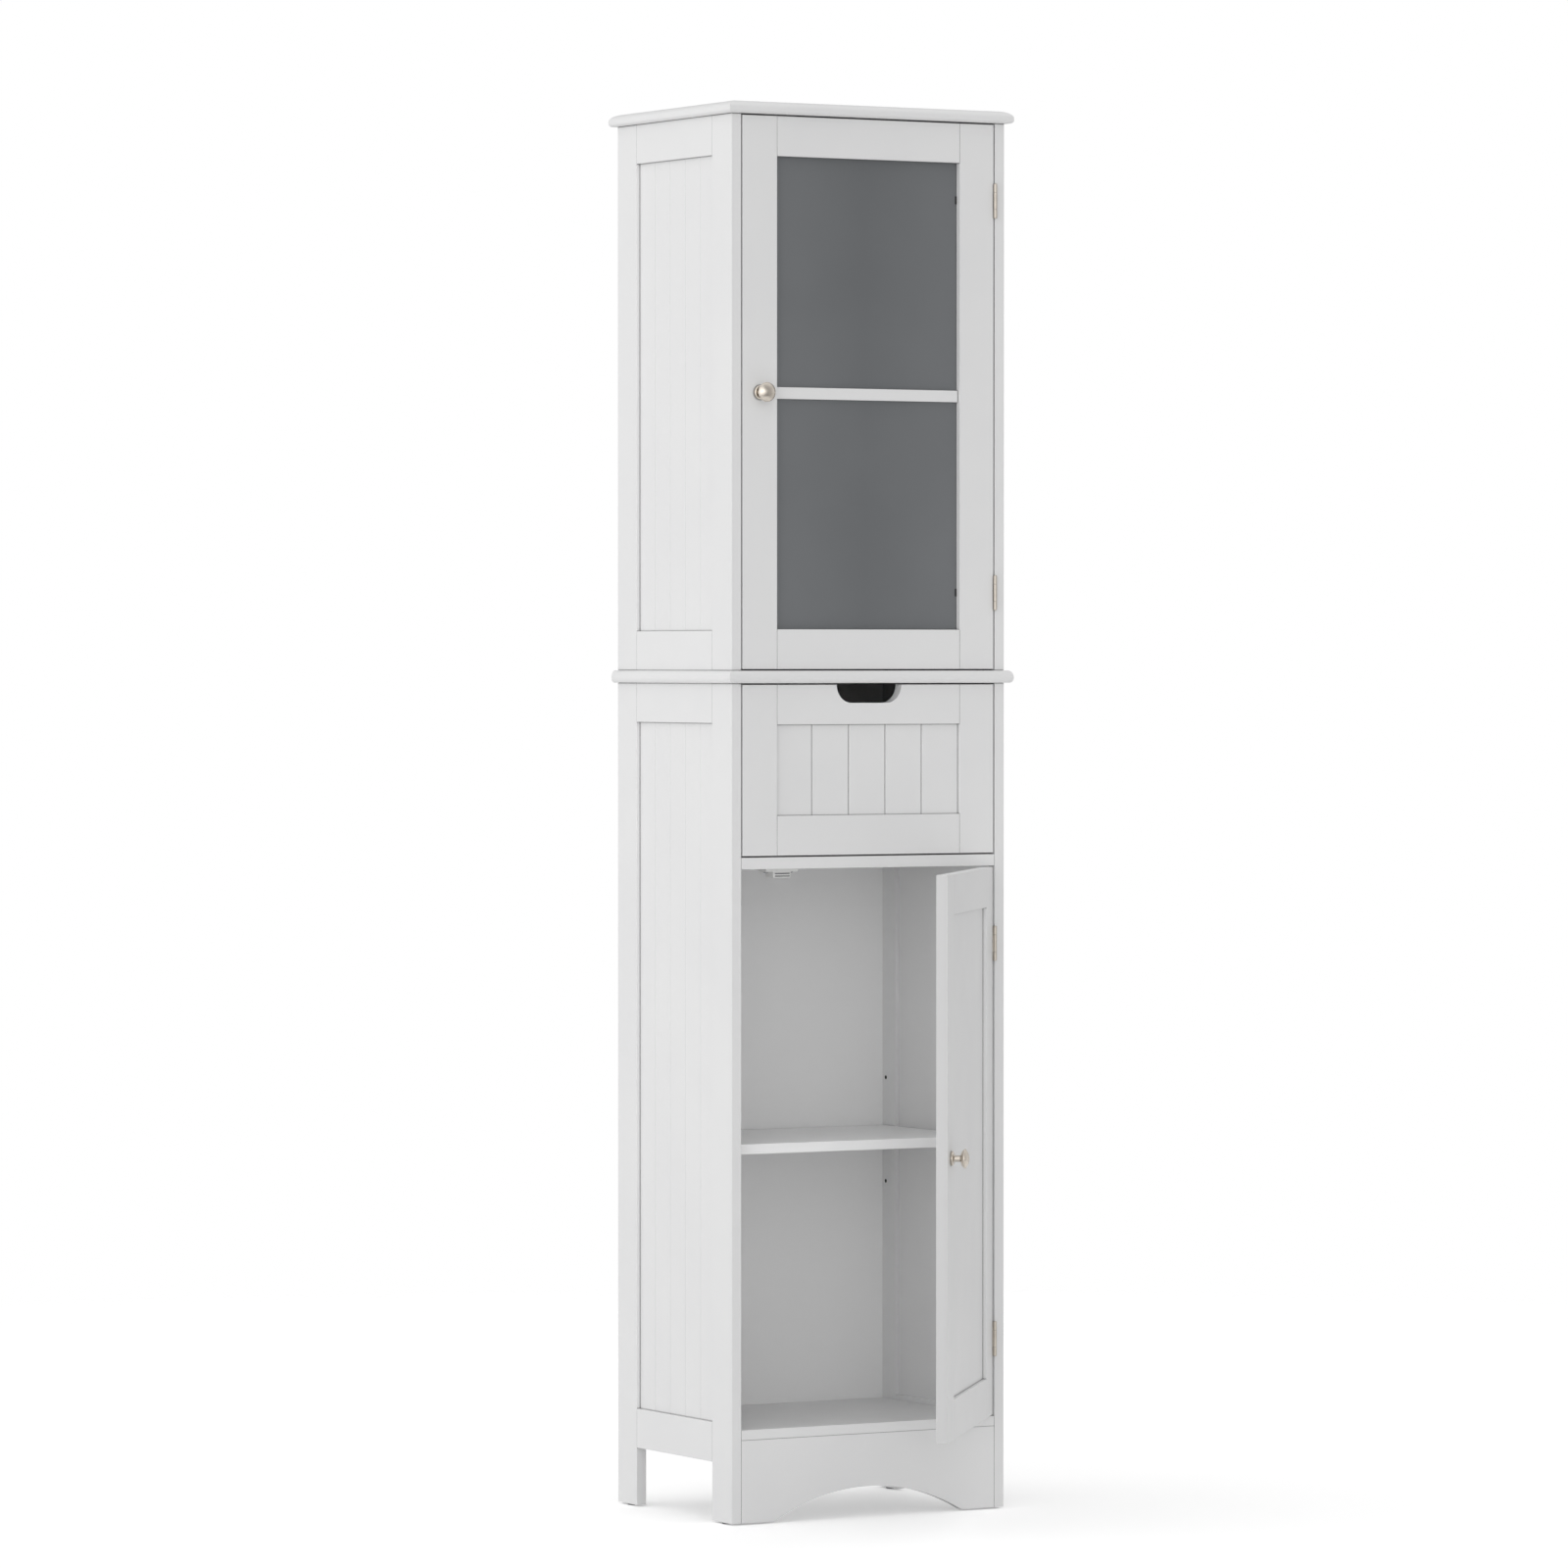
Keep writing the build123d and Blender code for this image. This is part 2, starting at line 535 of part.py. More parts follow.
# ---------------------------------------------------------------- doors and knobs
def knob(z):
    """Turned mushroom knob with a rimmed head and a rosette, bored from behind for its screw."""
    rim_out = RIM_AT + RIM_T
    rise = KNOB_OUT - rim_out
    ball_r = (CROWN_R ** 2 + rise ** 2) / (2 * rise)
    half_turn = asin(CROWN_R / ball_r) / 2
    crown_mid = (ball_r * sin(half_turn), KNOB_OUT - ball_r * (1 - cos(half_turn)))
    shoulder_r = ROSETTE_R - ROSETTE_ROUND
    foot_r = STEM_R + FOOT_FLARE
    foot_top = ROSETTE_T + FOOT_FLARE
    rim_r = HEAD_R - RIM_ROUND
    lean = sqrt(0.5)
    shoulder_mid = (shoulder_r + ROSETTE_ROUND * lean, ROSETTE_T - ROSETTE_ROUND * (1 - lean))
    foot_mid = (foot_r - FOOT_FLARE * lean, foot_top - FOOT_FLARE * lean)
    reach = rim_r - NECK_R
    depth = RIM_AT - HEAD_AT
    back_mid = (NECK_R + reach * lean, RIM_AT - depth * lean)
    section = make_face([
        Polyline((0, 0), (ROSETTE_R, 0), (ROSETTE_R, ROSETTE_T - ROSETTE_ROUND)),
        ThreePointArc((ROSETTE_R, ROSETTE_T - ROSETTE_ROUND), shoulder_mid,
                      (shoulder_r, ROSETTE_T)),
        Line((shoulder_r, ROSETTE_T), (foot_r, ROSETTE_T)),
        ThreePointArc((foot_r, ROSETTE_T), foot_mid, (STEM_R, foot_top)),
        Polyline((STEM_R, foot_top), (STEM_R, HEAD_AT - NECK_H), (NECK_R, HEAD_AT - NECK_H),
                 (NECK_R, HEAD_AT)),
        ThreePointArc((NECK_R, HEAD_AT), back_mid, (rim_r, RIM_AT)),
        ThreePointArc((rim_r, RIM_AT), (HEAD_R, RIM_AT + RIM_T / 2), (rim_r, rim_out)),
        Line((rim_r, rim_out), (CROWN_R, rim_out)),
        ThreePointArc((CROWN_R, rim_out), crown_mid, (0, KNOB_OUT)),
        Line((0, KNOB_OUT), (0, 0)),
    ])
    upright = revolve(Rot(90, 0, 0) * section, axis=Axis.Z)
    solid = Pos(KNOB_X, FRONT, z) * Rot(90, 0, 0) * upright
    return solid - rod((KNOB_X, FRONT + 1, z), (0, -1, 0), SCREW_R, KNOB_BORE + 1)


def knob_screw(z):
    """Machine screw through the stile into the knob."""
    return pan_screw((KNOB_X, FACE_BACK, z), (0, -1, 0),
                     (*KNOB_SCREW_HEAD, SCREW_R, FACE_T + KNOB_BORE))


def face_frame(z, removed):
    """Two stiles and two rails of a door or drawer front, less what is let into them."""
    y = (FRONT, FACE_BACK)
    stiles = [board(x, y, z) for x in ((FACE_LEFT, FACE_LEFT + MEMBER),
                                       (FACE_RIGHT - MEMBER, FACE_RIGHT))]
    ends = (1, 0, 0)
    rails = [jointed((FACE_LEFT + MEMBER, FACE_RIGHT - MEMBER), y, rail, ends, ends)
             for rail in ((z[0], z[0] + MEMBER), (z[1] - MEMBER, z[1]))]
    return [cut(item, removed) for item in stiles], [cut(item, removed) for item in rails]


def face_panel_blank(z):
    """Slab of the panel inside a face frame, tongues included."""
    return block((FACE_LEFT + MEMBER - TONGUE, FACE_RIGHT - MEMBER + TONGUE),
                 (FRONT + FACE_RECESS, FRONT + FACE_RECESS + FACE_PANEL_T),
                 (z[0] + MEMBER - TONGUE, z[1] - MEMBER + TONGUE))


def strike(z):
    """Steel strike plate on the back of a door, and its screw."""
    plate = board((CATCH_CENTRE - STRIKE_W / 2, CATCH_CENTRE + STRIKE_W / 2),
                  (FACE_BACK, FACE_BACK + STRIKE_T), (z - STRIKE_H / 2, z + STRIKE_H / 2),
                  STRIKE_EASE)
    fastener = screw((CATCH_CENTRE, FACE_BACK + STRIKE_T, z), (0, -1, 0), STRIKE_SCREW)
    return plate - fastener, fastener


def clip(side, z):
    """Black glass clip: a foot on the stile's back and a nose over the glass."""
    opening = side * (FACE_RIGHT - MEMBER)
    nose_end = opening - side * CLIP_REACH
    foot = block(sorted((nose_end, nose_end + side * CLIP_FOOT)),
                 (FACE_BACK, FACE_BACK + CLIP_T), (z - CLIP_H / 2, z + CLIP_H / 2))
    nose = block(sorted((nose_end, opening + side * (REBATE - CLIP_EASE))),
                 (GLASS_FACE + GLASS_T, FACE_BACK), (z - CLIP_H / 2, z + CLIP_H / 2))
    screw_x = nose_end + side * (CLIP_FOOT - CLIP_SCREW_IN)
    fastener = pan_screw((screw_x, FACE_BACK + CLIP_T, z), (0, -1, 0), CLIP_SCREW)
    return foot + nose - fastener, fastener


def pad(side, z):
    """Black pad between the rebate's shoulder and the glass, level with a clip."""
    opening = side * (FACE_RIGHT - MEMBER)
    x = sorted((opening - side * PAD_SHOWN, opening + side * (GLASS_LAP - PAD_CLEAR)))
    return block(x, (FRONT + GLASS_SETBACK, GLASS_FACE), (z - CLIP_H / 2, z + CLIP_H / 2))


# ---------------------------------------------------------------- magnetic catches
def catch(underside):
    """Magnetic catch under a board: housing, two steel poles and two screws."""
    front = FACE_BACK + STRIKE_T + CATCH_SPACE
    y = (front, front + CATCH_DEPTH)
    level = underside - CATCH_FLANGE_T
    flange = board((CATCH_CENTRE - CATCH_W / 2, CATCH_CENTRE + CATCH_W / 2), y,
                   (level, underside), CATCH_EASE)
    housing = flange + board((CATCH_CENTRE - CATCH_BLOCK_W / 2, CATCH_CENTRE + CATCH_BLOCK_W / 2),
                             y, (level - CATCH_BLOCK_H, level + CATCH_EASE), CATCH_EASE)
    half_pole = CATCH_BLOCK_W / 2 - POLE_MARGIN
    pole_y = (front - POLE_OUT, front - POLE_OUT + POLE_LENGTH)
    top = level - (CATCH_BLOCK_H - POLE_PITCH - POLE_T) / 2
    poles = [block((CATCH_CENTRE - half_pole, CATCH_CENTRE + half_pole), pole_y, (z - POLE_T, z))
             for z in (top, top - POLE_PITCH)]
    screws = [pan_screw((CATCH_CENTRE + offset, sum(y) / 2, level), (0, 0, 1), CATCH_SCREW)
              for offset in (-CATCH_SCREWS, CATCH_SCREWS)]
    return cut(housing, poles + screws), poles, screws


# ---------------------------------------------------------------- drawer
def runner(side):
    """Hardwood runner screwed across the two stiles of a side, and its screws."""
    inner = side * (WIDTH / 2 - SIDE_T)
    solid = board(sorted((inner, inner - side * RUNNER_T)),
                  (FACE_BACK + RUNNER_FRONT, BACK_FACE - RUNNER_BACK),
                  (RUNNER_Z - RUNNER_H / 2, RUNNER_Z + RUNNER_H / 2))
    screws = [screw((inner - side * RUNNER_T, y, RUNNER_Z), (side, 0, 0), RUNNER_SCREW)
              for y in (FRONT + RUNNER_SCREW_AT, BACK - RUNNER_SCREW_AT)]
    return cut(solid, screws), screws


def drawer_side(side, bores):
    """Drawer side, grooved outside for its runner and inside for the bottom."""
    outer = WIDTH / 2 - SIDE_T - BOX_CLEAR
    x = sorted((side * outer, side * (outer - BOX_T)))
    solid = board(x, (FACE_BACK, BACK - BOX_BACK), (BOX_Z, BOX_Z + BOX_H))
    groove_end = side * (outer + BOX_CLEAR - RUNNER_T - RUNNER_FIT)
    half = RUNNER_H / 2 + RUNNER_FIT
    groove = block(sorted((side * (outer + 1), groove_end)),
                   (FACE_BACK + GROOVE_FRONT, BACK), (RUNNER_Z - half, RUNNER_Z + half))
    return cut(solid, [groove] + bores)


def drawer_cam(side, z):
    """Cam in a drawer side and its bolt into the front frame."""
    inside = side * (WIDTH / 2 - SIDE_T - BOX_CLEAR - BOX_T)
    y = FACE_BACK + CAM_SETBACK
    disc = rod((inside, y, z), (side, 0, 0), CAM_R, DRAWER_CAM_T)
    bolt = rod((inside + side * DRAWER_BOLT_IN, FACE_BACK - PIN_HOLE_DEPTH, z), (0, 1, 0),
               CAM_BOLT_R, PIN_HOLE_DEPTH + CAM_SETBACK - CAM_R + CAM_BOLT_GRIP)
    slot = Pos(inside, y, z) * Box(CAM_SLOT_DEPTH, CAM_SLOT_W, 2 * CAM_R * CAM_SLOT_REACH)
    return cut(disc, [slot, bolt]), bolt, [disc, bolt]


def finger_cutter():
    """Tool for the finger cut-out: flat-bottomed, round-cornered, open at the top."""
    flat = FINGER_W / 2 - FINGER_R
    bottom = DRAWER_FACE[1] - FINGER_DEPTH
    above = DRAWER_FACE[1] + GAP
    outline = make_face([
        Polyline((-FINGER_W / 2, bottom + FINGER_R), (-FINGER_W / 2, above),
                 (FINGER_W / 2, above), (FINGER_W / 2, bottom + FINGER_R)),
        JernArc((-FINGER_W / 2, bottom + FINGER_R), (0, -1), FINGER_R, 90),
        Line((-flat, bottom), (flat, bottom)),
        JernArc((flat, bottom), (1, 0), FINGER_R, 90),
    ])
    plane = Plane(origin=(0, FRONT - 1, 0), x_dir=(1, 0, 0), z_dir=(0, -1, 0))
    return extrude(plane * outline, amount=-(FACE_T + 2))


def make_drawer():
    """The drawer: framed beaded front, box, bottom and fittings."""
    blank = face_panel_blank(DRAWER_FACE)
    cams = [drawer_cam(side, BOX_Z + rise) for side in (-1, 1) for rise in DRAWER_CAM_Z]
    bores = [tool for cam in cams for tool in cam[2]]
    stiles, rails = face_frame(DRAWER_FACE, [blank] + bores)
    top_rail = rails[1] - finger_cutter()

    heights = (DRAWER_FACE[0] + MEMBER - TONGUE, DRAWER_FACE[1] - MEMBER + TONGUE)

    def into(place):
        return Pos(place, FRONT + FACE_RECESS, heights[0])

    grooves = bead_cutters(heights, (FACE_LEFT + MEMBER, FACE_RIGHT - MEMBER), FACE_BEAD, into)
    outer = WIDTH / 2 - SIDE_T - BOX_CLEAR
    bottom = block((-outer + BOX_T - TONGUE, outer - BOX_T + TONGUE), (FACE_BACK, BACK - BOX_BACK),
                   (DRAWER_BOTTOM_Z, DRAWER_BOTTOM_Z + DRAWER_BOTTOM_T))
    back_y = BACK - BOX_BACK - BOX_T / 2
    screws = [screw((side * outer, back_y, BOX_Z + rise), (-side, 0, 0), DRAWER_SCREW)
              for side in (-1, 1) for rise in DRAWER_SCREW_Z]
    back = board((-outer + BOX_T, outer - BOX_T), (BACK - BOX_BACK - BOX_T, BACK - BOX_BACK),
                 (DRAWER_BOTTOM_Z + DRAWER_BOTTOM_T, BOX_Z + BOX_H))
    write("drawer_front_stiles", *stiles)
    write("drawer_front_bottom_rail", rails[0])
    write("drawer_front_top_rail", top_rail)
    write("drawer_front_panel", cut(blank, grooves))
    for side, name in ((-1, "left"), (1, "right")):
        write(f"drawer_{name}_side", drawer_side(side, bores + screws + [bottom]))
    write("drawer_back", cut(back, screws))
    write("drawer_bottom", bottom)
    write("drawer_cams", *[cam[0] for cam in cams])
    write("drawer_cam_bolts", *[cam[1] for cam in cams])
    write("drawer_back_screws", *map(recessed, screws))


# ---------------------------------------------------------------- assembly
def make_upper_door(hinges, strike_z):
    """Glazed door, modelled shut."""
    z = UPPER_DOOR
    middle = sum(z) / 2
    glass_edge = MEMBER - REBATE
    rebate = block((FACE_LEFT + glass_edge, FACE_RIGHT - glass_edge),
                   (FRONT + GLASS_SETBACK, FACE_BACK + 1), (z[0] + glass_edge, z[1] - glass_edge))
    plate, plate_screw = strike(strike_z)
    clips = [clip(side, level) for side in (-1, 1) for level in HINGE_Z["upper"]]
    fasteners = [plate_screw, knob_screw(middle)]
    fasteners += [item[1] for item in clips]
    fasteners += [item for each in hinges for item in each[4]]
    stiles, rails = face_frame(z, [rebate] + fasteners)
    pane_edge = MEMBER - GLASS_LAP
    pane = board((FACE_LEFT + pane_edge, FACE_RIGHT - pane_edge),
                 (GLASS_FACE, GLASS_FACE + GLASS_T), (z[0] + pane_edge, z[1] - pane_edge),
                 GLASS_EASE)
    muntin = board((FACE_LEFT + MEMBER, FACE_RIGHT - MEMBER),
                   (GLASS_FACE - MUNTIN_T, GLASS_FACE),
                   (middle - MUNTIN_H / 2, middle + MUNTIN_H / 2))
    write("upper_door_stiles", *stiles)
    write("upper_door_rails", *rails)
    write("upper_door_muntin", muntin)
    write("upper_door_glass", pane)
    write("upper_door_glass_clips", *[item[0] for item in clips])
    write("upper_door_glass_pads", *[pad(side, level) for side in (-1, 1)
                                     for level in HINGE_Z["upper"]])
    write("upper_door_knob", knob(middle))
    write("upper_door_strike_plate", plate)
    write("upper_door_hinge_leaves", *[each[1] for each in hinges])
    write("upper_door_screws", *map(recessed, fasteners))


def make_lower_door(hinges, strike_z):
    """Framed door with a plain panel, modelled shut and then turned ajar on its hinges."""
    z = LOWER_DOOR
    middle = sum(z) / 2
    blank = face_panel_blank(z)
    plate, plate_screw = strike(strike_z)
    fasteners = [plate_screw, knob_screw(middle)]
    fasteners += [item for each in hinges for item in each[4]]
    stiles, rails = face_frame(z, [blank] + fasteners)
    ajar = Pos(AXIS_X, AXIS_Y, 0) * Rot(0, 0, DOOR_AJAR) * Pos(-AXIS_X, -AXIS_Y, 0)
    groups = {
        "lower_door_stiles": stiles,
        "lower_door_rails": rails,
        "lower_door_panel": [blank],
        "lower_door_knob": [knob(middle)],
        "lower_door_strike_plate": [plate],
        "lower_door_hinge_leaves": [each[1] for each in hinges],
        "lower_door_screws": [recessed(item) for item in fasteners],
    }
    for name, solids in groups.items():
        write(name, *[ajar * solid for solid in solids])


os.makedirs("parts", exist_ok=True)

upper_hinges = [hinge(z) for z in HINGE_Z["upper"]]
lower_hinges = [hinge(z) for z in HINGE_Z["lower"]]
case_hinge_screws = [item for each in upper_hinges + lower_hinges for item in each[3]]
cam_discs, cam_bolts, cam_bores = carcass_cams()
dowels = frame_dowels()
glides = foot_glides()
runners = [runner(side) for side in (-1, 1)]
runner_screws = [item for each in runners for item in each[1]]
catches = [catch(underside) for underside in (DIVIDER_Z, TOP_Z)]
catch_screws = [item for each in catches for item in each[2]]

back_slots = {
    "lower": block((INNER_LEFT - BACK_SET, INNER_RIGHT + BACK_SET), (BACK_FACE, BACK_FACE + BACK_T),
                   (BOTTOM_Z, WAIST_Z)),
    "upper": block((INNER_LEFT - BACK_SET, INNER_RIGHT + BACK_SET), (BACK_FACE, BACK_FACE + BACK_T),
                   (WAIST_TOP, TOP_Z)),
}

let_in = case_hinge_screws + cam_bolts + dowels + glides + runner_screws
lower_levels = [PIN_LEVEL + step * PIN_PITCH for step in (-1, 0, 1)]
upper_levels = [UPPER_PIN_LEVEL + step * PIN_PITCH for step in (-1, 0, 1)]
lower_rails = ((LOW_RAIL_Z, LOW_RAIL_Z + MEMBER), (WAIST_Z - MEMBER, WAIST_Z))
upper_rails = ((WAIST_TOP, WAIST_TOP + MEMBER), (TOP_Z - MEMBER, TOP_Z))
for side, side_name in ((-1, "left"), (1, "right")):
    side_frame("lower", side_name, side, (GLIDE_T, WAIST_Z), lower_rails, let_in, lower_levels)
    side_frame("upper", side_name, side, (WAIST_TOP, TOP_Z), upper_rails, let_in, upper_levels)

write("top_board", cut(cap_board(TOP_Z, BACK + TOP_OVERHANG_BACK, True, TOP_UPPER_ROUND,
                                 TOP_LOWER_ROUND), dowels + catch_screws))
write("waist_board", cut(cap_board(WAIST_Z, BACK + WAIST_OVERHANG_BACK, False, WAIST_UPPER_ROUND,
                                   WAIST_LOWER_ROUND), dowels))
inner_x = (INNER_LEFT, INNER_RIGHT)
inner_y = (FRONT, BACK_FACE)
ends = (1, 0, 0)
write("bottom_board", cut(jointed(inner_x, inner_y, (BOTTOM_Z, BOTTOM_Z + BOTTOM_T), ends, ends),
                          cam_bores[BOTTOM_Z]))
write("drawer_divider", cut(jointed(inner_x, inner_y, (DIVIDER_Z, DIVIDER_Z + DIVIDER_T), ends,
                                    ends), cam_bores[DIVIDER_Z] + catch_screws))
write("front_apron", front_apron())
write("lower_back_panel", back_slots["lower"])
write("upper_back_panel", back_slots["upper"])
write("lower_shelf", shelf(SHELF_Z, PIN_LEVEL))
write("upper_shelf", shelf(UPPER_SHELF_Z, UPPER_PIN_LEVEL))
write("shelf_pins", *shelf_pins((PIN_LEVEL, UPPER_PIN_LEVEL)))
write("foot_glides", *glides)
write("frame_dowels", *dowels)
write("carcass_cams", *cam_discs)
write("carcass_cam_bolts", *cam_bolts)
write("drawer_runners", *[each[0] for each in runners])
write("catch_housings", *[each[0] for each in catches])
write("catch_poles", *[pole for each in catches for pole in each[1]])
write("case_hinge_leaves", *[each[0] for each in upper_hinges + lower_hinges])
write("hinge_pins", *[each[2] for each in upper_hinges + lower_hinges])
write("case_screws", *map(recessed, case_hinge_screws + runner_screws + catch_screws))

make_drawer()
strike_drop = CATCH_FLANGE_T + CATCH_BLOCK_H / 2 + STRIKE_LOW
make_upper_door(upper_hinges, TOP_Z - strike_drop)
make_lower_door(lower_hinges, DIVIDER_Z - strike_drop)
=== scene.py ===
import json
from math import cos, radians, sin

import bpy
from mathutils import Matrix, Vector


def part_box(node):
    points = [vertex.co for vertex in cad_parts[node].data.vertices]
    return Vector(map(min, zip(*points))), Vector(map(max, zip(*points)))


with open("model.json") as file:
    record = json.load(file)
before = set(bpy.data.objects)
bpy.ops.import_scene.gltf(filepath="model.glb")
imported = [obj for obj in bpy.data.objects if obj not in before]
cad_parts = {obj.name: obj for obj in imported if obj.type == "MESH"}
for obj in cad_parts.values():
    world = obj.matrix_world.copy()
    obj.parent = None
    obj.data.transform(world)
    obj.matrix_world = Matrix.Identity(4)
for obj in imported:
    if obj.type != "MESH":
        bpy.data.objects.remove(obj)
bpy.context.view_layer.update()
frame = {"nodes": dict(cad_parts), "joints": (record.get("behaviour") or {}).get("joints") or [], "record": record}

# ------------------------------------------------------------------ camera
CAMERA_AT = (-4.617, -7.9855, 1.035)
CAMERA_TURN = 29.8363          # degrees from straight ahead, towards the right
CAMERA_DIP = 0.9533            # degrees below level
CAMERA_LENS = 173.7            # millimetres
CAMERA_SENSOR = 36.0           # millimetres
CAMERA_SEES = 60.0             # metres

camera_data = bpy.data.cameras.new("camera")
camera_data.lens = CAMERA_LENS
camera_data.sensor_width = CAMERA_SENSOR
camera_data.clip_end = CAMERA_SEES
camera = bpy.data.objects.new("camera", camera_data)
camera.location = CAMERA_AT
camera.rotation_euler = (radians(90 - CAMERA_DIP), 0, radians(-CAMERA_TURN))
bpy.context.scene.collection.objects.link(camera)
bpy.context.scene.camera = camera
bpy.context.scene.view_settings.view_transform = "Standard"

# ------------------------------------------------------------------ places on the cabinet
CREASE_REACH = 0.002           # metres over which a crease counts as closed in
INSIDE_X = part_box("lower_right_panel")[0].x + CREASE_REACH     # inside of the cases, to each side
INSIDE_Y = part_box("lower_back_panel")[0].y + CREASE_REACH      # and to the front and the back
PANE_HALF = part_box("upper_door_muntin")[1].x                   # half the visible pane's width

PIN_R = 0.0025                 # shelf pins and their bores
BORE_LIP = 0.0002              # painted mouth of a bore
BORE_MARGIN = 0.0003           # room round a bore in the mask that finds it
FIRST_PIN, LAST_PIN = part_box("shelf_pins")
BORE_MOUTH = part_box("lower_right_stiles")[0].x + BORE_LIP
BORE_END = LAST_PIN.x + BORE_MARGIN
BORE_X = ((BORE_MOUTH + BORE_END) / 2, (BORE_END - BORE_MOUTH) / 2)        # middle, half-width
BORE_Y = ((LAST_PIN.y - FIRST_PIN.y) / 2 - PIN_R, PIN_R + BORE_MARGIN)     # from midway
ROWS_MIDWAY = (FIRST_PIN.y + LAST_PIN.y) / 2                   # between front and back bores

LOWER_HINGE = next(joint for joint in frame["joints"] if joint["name"] == "lower_door_hinge")
HINGE_AXIS = (*LOWER_HINGE["pos_m"][:2], 0.0)
DOOR_REACH = HINGE_AXIS[0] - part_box("upper_door_stiles")[0].x  # both doors are as wide
EDGE_SHADE_MARGIN = 0.0003
EDGE_SHADE_FROM = DOOR_REACH - EDGE_SHADE_MARGIN                           # distance from the hinge axis where the painted shade on the door's free edge starts

# ------------------------------------------------------------------ node helpers
NOISE_SPREAD = (0.3, 0.7)      # most values of a noise texture lie between these
CREVICE_SAMPLES = 12


def add_math(tree, operation, *values):
    """Add a math node that works on numbers or outputs."""
    node = tree.nodes.new("ShaderNodeMath")
    node.operation = operation
    for socket, value in zip(node.inputs, values):
        if isinstance(value, (int, float)):
            socket.default_value = value
        else:
            tree.links.new(value, socket)
    return node.outputs["Value"]


class Shader:
    """A material's node tree, with short calls to add and join nodes."""

    def __init__(self, name):
        self.material = bpy.data.materials.new(name)
        self.material.use_nodes = True
        self.tree = self.material.node_tree
        self.bsdf = self.tree.nodes["Principled BSDF"]
        self.coords = self.add("TexCoord").outputs["Object"]

    def add(self, kind):
        """Add a shader node."""
        return self.tree.nodes.new("ShaderNode" + kind)

    def link(self, output, socket):
        """Link an output to a socket of any node."""
        self.tree.links.new(output, socket)

    def set(self, **values):
        """Fixed values on the shader's own sockets; underscores stand for spaces."""
        for name, value in values.items():
            self.bsdf.inputs[name.replace("_", " ")].default_value = value
        return self

    def join(self, output, target):
        """Link an output to one of the shader's sockets."""
        self.link(output, self.bsdf.inputs[target])

    def math(self, operation, *values):
        """A math node on numbers or outputs."""
        return add_math(self.tree, operation, *values)

    def span(self, value, old, new):
        """Map a value from one (low, high) range to another."""
        node = self.add("MapRange")
        for name, number in zip(("From Min", "From Max", "To Min", "To Max"), (*old, *new)):
            node.inputs[name].default_value = number
        self.link(value, node.inputs["Value"])
        return node.outputs["Result"]

    def noise(self, per_metre, detail, stretch=(1, 1, 1), rough=0.5):
        """Noise whose features are counted per metre."""
        mapping = self.add("Mapping")
        mapping.inputs["Scale"].default_value = stretch
        self.link(self.coords, mapping.inputs["Vector"])
        node = self.add("TexNoise")
        node.inputs["Scale"].default_value = per_metre
        node.inputs["Detail"].default_value = detail
        node.inputs["Roughness"].default_value = rough
        self.link(mapping.outputs["Vector"], node.inputs["Vector"])
        return node.outputs["Fac"]

    def vary(self, low, high, per_metre, detail, spread=NOISE_SPREAD):
        """A value that wanders between two others."""
        return self.span(self.noise(per_metre, detail), spread, (low, high))

    def blend(self, factor, first, second):
        """Mix two colours, given as triples or as outputs."""
        node = self.add("Mix")
        node.data_type = "RGBA"
        self.link(factor, node.inputs["Factor"])
        for socket, colour in ((node.inputs["A"], first), (node.inputs["B"], second)):
            if isinstance(colour, tuple):
                socket.default_value = (*colour, 1.0)
            else:
                self.link(colour, socket)
        return node.outputs["Result"]

    def bump(self, height, distance, strength, under=None):
        """Bump from a height output; distance in metres."""
        node = self.add("Bump")
        node.inputs["Distance"].default_value = distance
        node.inputs["Strength"].default_value = strength
        self.link(height, node.inputs["Height"])
        if under is not None:
            self.link(under, node.inputs["Normal"])
        return node.outputs["Normal"]

    def place(self, axis):
        """Position along one axis, in metres."""
        node = self.add("SeparateXYZ")
        self.link(self.coords, node.inputs[0])
        return node.outputs[axis]

    def aside(self, axis):
        """Distance from the cabinet's middle along one axis, in metres."""
        return self.math("ABSOLUTE", self.place(axis))

    def from_axis(self, axis):
        """Distance from an upright line through a point at floor level, in metres."""
        level = self.add("VectorMath")
        level.operation = "MULTIPLY"
        level.inputs[1].default_value = (1, 1, 0)
        self.link(self.coords, level.inputs[0])
        distance = self.add("VectorMath")
        distance.operation = "DISTANCE"
        distance.inputs[1].default_value = axis
        self.link(level.outputs["Vector"], distance.inputs[0])
        return distance.outputs["Value"]

    def openness(self, reach):
        """1 on open surfaces and 0 deep in a crevice; reach in metres."""
        node = self.add("AmbientOcclusion")
        node.samples = CREVICE_SAMPLES
        node.inputs["Distance"].default_value = reach
        return node.outputs["AO"]


# ------------------------------------------------------------------ painted board
# painted shade: near-black colour for the joints and creases
CREASE_SHADE = (0.05, 0.05, 0.052)
CREASE_SHADE_SPREAD = (0.2, 1.0)       # openness where a crease is all painted shade, and where it has none
# raw board in the shelf-pin bores, painted near black: painted shade inside a bore
SHADED_RAW_BOARD = (0.012, 0.010, 0.008)
# painted shade: a greyer tone on the door's free edge, which gets less light
EDGE_SHADE = (0.62, 0.62, 0.622)


def in_bore(shader):
    """1 on the walls of the shelf-pin bores, 0 elsewhere on a side stile."""
    across = shader.math("COMPARE", shader.aside("X"), *BORE_X)
    from_midway = shader.math("SUBTRACT", shader.place("Y"), ROWS_MIDWAY)
    along = shader.math("COMPARE", shader.math("ABSOLUTE", from_midway), *BORE_Y)
    return shader.math("MULTIPLY", across, along)


def indoors(shader):
    """1 inside the cases, 0 outside them."""
    between_sides = shader.math("LESS_THAN", shader.aside("X"), INSIDE_X)
    front_to_back = shader.math("LESS_THAN", shader.aside("Y"), INSIDE_Y)
    return shader.math("MULTIPLY", between_sides, front_to_back)


